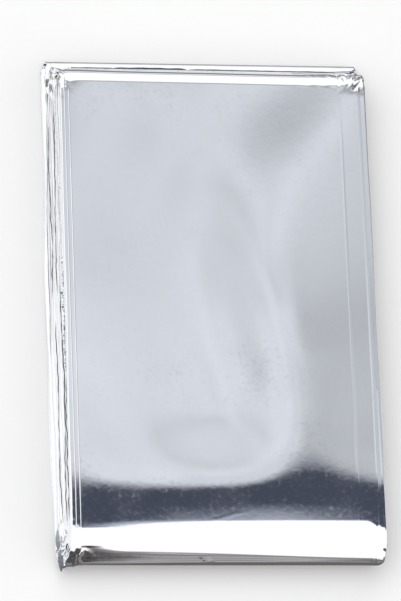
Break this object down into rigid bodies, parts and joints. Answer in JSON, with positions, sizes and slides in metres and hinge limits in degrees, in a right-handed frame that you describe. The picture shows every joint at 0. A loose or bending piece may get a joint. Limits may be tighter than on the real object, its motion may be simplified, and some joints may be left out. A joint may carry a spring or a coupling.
{
  "type": "folded emergency foil blanket",
  "caption": "Silver metallised film blanket folded into a flat hand-sized pack, with a rounded spine at one end, stepped folds at the other and fanned layer edges.",
  "frame": {"origin": "middle of the pack's footprint, on the surface that it lies on", "axes": "+X towards the pack's right edge, +Y towards its open end with the stepped folds, +Z out of its front face"},
  "size_m": [0.0854, 0.137, 0.0124],
  "materials": {
    "silver_foil": "bright, vacuum-coated film, finely creased"
  },
  "bodies": {
    "root": {"foil_blanket": "silver_foil"}
  },
  "joints": []
}
